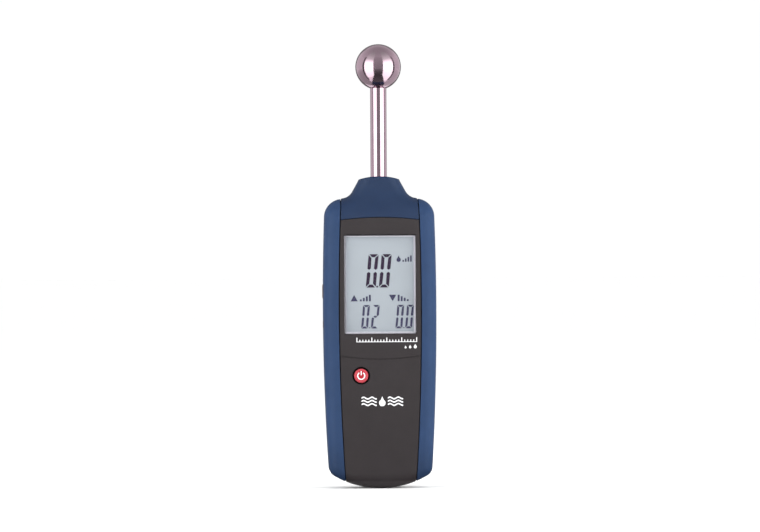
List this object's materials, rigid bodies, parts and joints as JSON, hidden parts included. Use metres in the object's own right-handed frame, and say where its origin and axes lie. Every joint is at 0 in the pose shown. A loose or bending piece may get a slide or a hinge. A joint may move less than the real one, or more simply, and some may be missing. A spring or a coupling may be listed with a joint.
{
  "type": "pinless moisture meter",
  "caption": "Hand-held moisture meter: slim rounded case with soft side grips, display window, round power key, edge keys, sliding battery door and a steel ball probe on a rod.",
  "frame": {"origin": "middle of the case's footprint, at the bottom of the case", "axes": "+Z along the probe, the display faces -Y, +X to the right as seen from the front"},
  "size_m": [0.0603, 0.0286, 0.235],
  "materials": {
    "dark_case": "fine-textured satin moulding",
    "blue_nose": "fine-textured satin moulding",
    "blue_grip": "soft-touch satin",
    "clear_window": "clear and glossy",
    "light_frame": "satin",
    "lcd_glass": "silver-grey display with dark segments",
    "light_guide": "milky acrylic",
    "contact_rubber": "striped silicone",
    "red_key": "silicone with a white printed symbol",
    "side_key": "matt silicone",
    "probe_steel": "finely turned stainless steel",
    "bush_plastic": "natural nylon",
    "plated_steel": "bright plating",
    "tinned_brass": "tinned",
    "wire_white": "insulation",
    "wire_red": "insulation",
    "wire_black": "insulation",
    "board_green": "solder mask",
    "chip_black": "moulded epoxy",
    "capacitor_sleeve": "shrink sleeve",
    "battery_jacket": "printed metal jacket, no print shown",
    "foam_grey": "closed-cell foam",
    "screw_black": "black oxide"
  },
  "bodies": {
    "case": {"front_case": "dark_case", "rear_case": "dark_case", "nose_cap": "blue_nose", "left_grip": "blue_grip", "right_grip": "blue_grip", "display_window": "clear_window", "display_frame": "light_frame", "lcd_panel": "lcd_glass", "backlight_panel": "light_guide", "display_contacts": "contact_rubber", "probe_ball": "probe_steel", "probe_rod": "probe_steel", "probe_bush": "bush_plastic", "probe_washer": "plated_steel", "solder_lug": "tinned_brass", "probe_nut": "plated_steel", "sensor_wire": "wire_white", "main_board": "board_green", "processor_chip": "chip_black", "sensor_chip": "chip_black", "clock_crystal": "plated_steel", "filter_capacitors": "capacitor_sleeve", "alarm_buzzer": "chip_black", "power_switch": "chip_black", "left_switch_upper": "chip_black", "left_switch_lower": "chip_black", "right_switch": "chip_black", "battery": "battery_jacket", "battery_terminals": "plated_steel", "battery_snap": "chip_black", "red_lead": "wire_red", "black_lead": "wire_black", "battery_pad": "foam_grey", "case_screws": "screw_black", "board_screws": "plated_steel"},
    "power_button": {"power_key": "red_key"},
    "upper_left_button": {"left_key_upper": "side_key"},
    "lower_left_button": {"left_key_lower": "side_key"},
    "right_button": {"right_key": "side_key"},
    "door": {"battery_door": "dark_case"}
  },
  "joints": [
    {"name": "power_press", "type": "slide", "parent": "case", "child": "power_button", "axis": [0, 1, 0], "range_m": [0, 0.0008], "stiffness_N_per_m": 1200},
    {"name": "upper_left_press", "type": "slide", "parent": "case", "child": "upper_left_button", "axis": [1, 0, 0], "range_m": [0, 0.0006], "stiffness_N_per_m": 1200},
    {"name": "lower_left_press", "type": "slide", "parent": "case", "child": "lower_left_button", "axis": [1, 0, 0], "range_m": [0, 0.0006], "stiffness_N_per_m": 1200},
    {"name": "right_press", "type": "slide", "parent": "case", "child": "right_button", "axis": [-1, 0, 0], "range_m": [0, 0.0006], "stiffness_N_per_m": 1200},
    {"name": "door_slide", "type": "slide", "parent": "case", "child": "door", "axis": [0, 0, -1], "range_m": [0, 0.062]}
  ]
}
